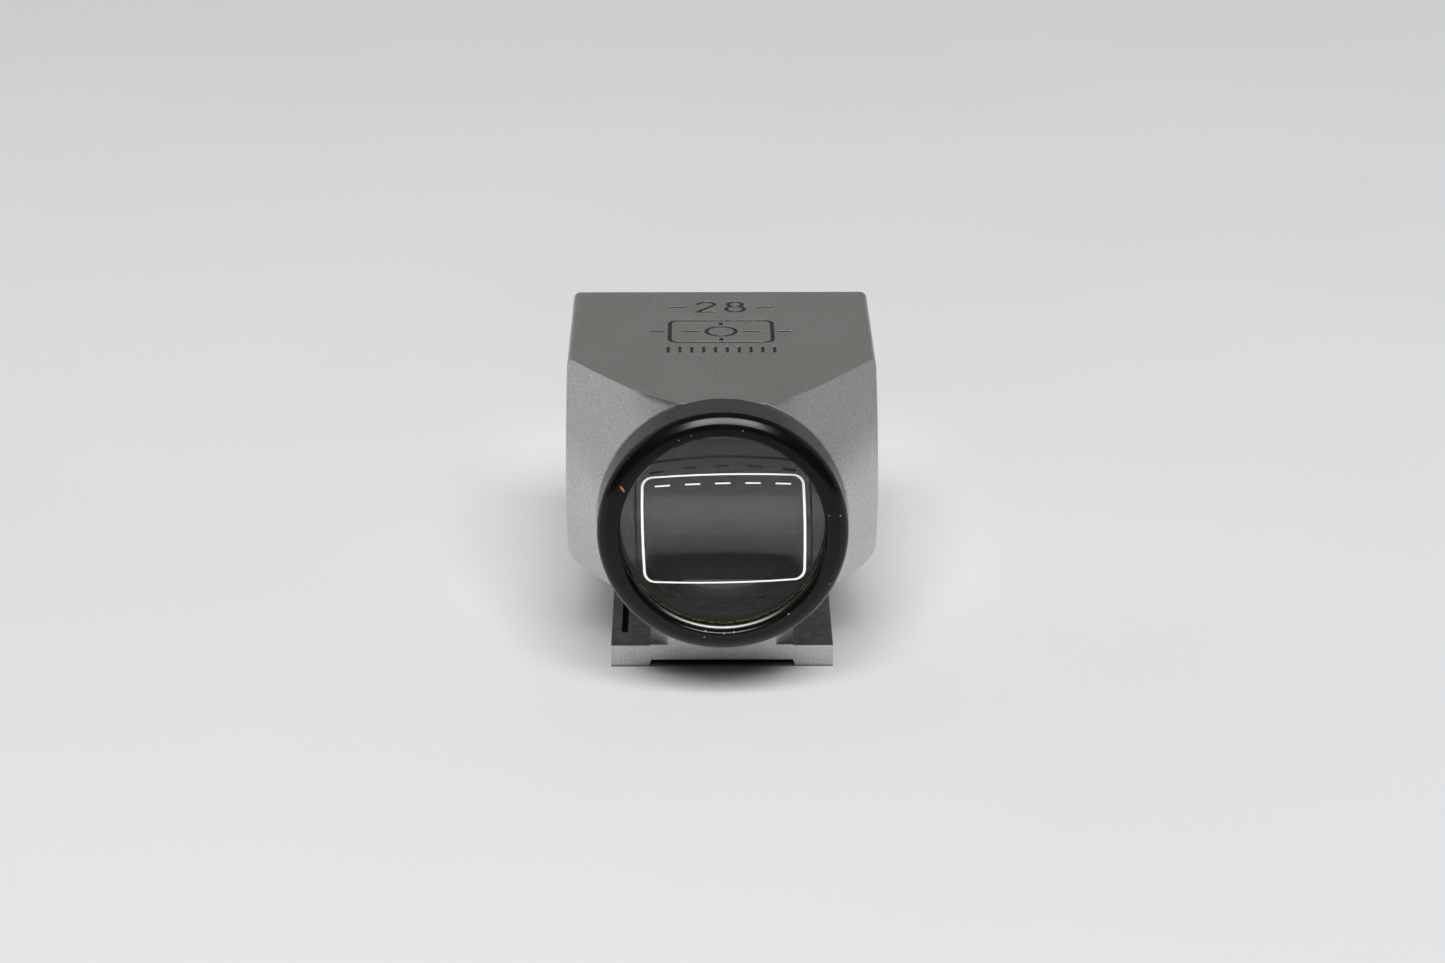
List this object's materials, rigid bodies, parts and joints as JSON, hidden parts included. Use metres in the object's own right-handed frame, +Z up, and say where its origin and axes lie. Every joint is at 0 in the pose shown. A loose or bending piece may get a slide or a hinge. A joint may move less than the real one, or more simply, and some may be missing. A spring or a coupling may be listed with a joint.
{
  "type": "shoe-mounted bright-line viewfinder",
  "caption": "Small accessory-shoe viewfinder with a square satin-chrome body coned down to a round black eyepiece, framing lines in the eyepiece and a slide-in foot.",
  "frame": {"origin": "under the middle of the object, on the plane that the foot's runners rest on", "axes": "+X to the user's right, +Y towards the subject (the eyepiece is at -Y), +Z up"},
  "size_m": [0.0256, 0.0342, 0.0257],
  "materials": {
    "satin_chrome": "satin chrome plate over machined alloy, finely pearled",
    "ring_black": "polished black hard rubber",
    "washer_fibre": "black fibre",
    "cell_metal": "turned, bright rim, blackened inside",
    "retainer_metal": "turned, bright bevel, blackened elsewhere",
    "spacer_lacquer": "olive-brown lacquer, worn",
    "pin_steel": "drawn",
    "lens_glass": "polished, single coated",
    "plate_glass": "polished",
    "line_white": "white filled line",
    "line_dark": "matt black line",
    "black_lacquer": "matt black lacquer",
    "mirror_glass": "half-silvered, concave",
    "front_glass": "polished, bluish coating",
    "gasket_rubber": "matt",
    "bezel_black": "satin black enamel",
    "screw_steel": "turned, slotted",
    "engraving_paint": "black paint fill"
  },
  "bodies": {
    "finder": {"housing": "satin_chrome", "engraving_fill": "engraving_paint", "ocular_cell": "cell_metal", "cell_key_pin": "pin_steel", "ocular_retaining_ring": "retainer_metal", "ocular_lens": "lens_glass", "frame_plate": "plate_glass", "frame_lines": "line_white", "frame_mask": "line_dark", "ocular_spacer": "spacer_lacquer", "light_lining": "black_lacquer", "glare_stop": "black_lacquer", "objective_rear_element": "mirror_glass", "objective_front_element": "front_glass", "objective_gasket": "gasket_rubber", "front_bezel": "bezel_black", "bezel_screws": "screw_steel", "shoe_foot": "satin_chrome", "foot_screws": "screw_steel"},
    "washer": {"eyepiece_washer": "washer_fibre"},
    "eyepiece": {"eyepiece_ring": "ring_black"}
  },
  "joints": [
    {"name": "eyepiece_travel", "type": "slide", "parent": "finder", "child": "washer", "axis": [0, -1, 0], "range_m": [0, 0.0018]},
    {"name": "eyepiece_turn", "type": "hinge", "parent": "washer", "child": "eyepiece", "pos_m": [0, -0.0149, 0.01558], "axis": [0, -1, 0], "range_deg": [0, 1296]}
  ],
  "couplings": [
    {"joint": "eyepiece_travel", "follows": "eyepiece_turn", "m_per_rad": 0.00007957}
  ]
}
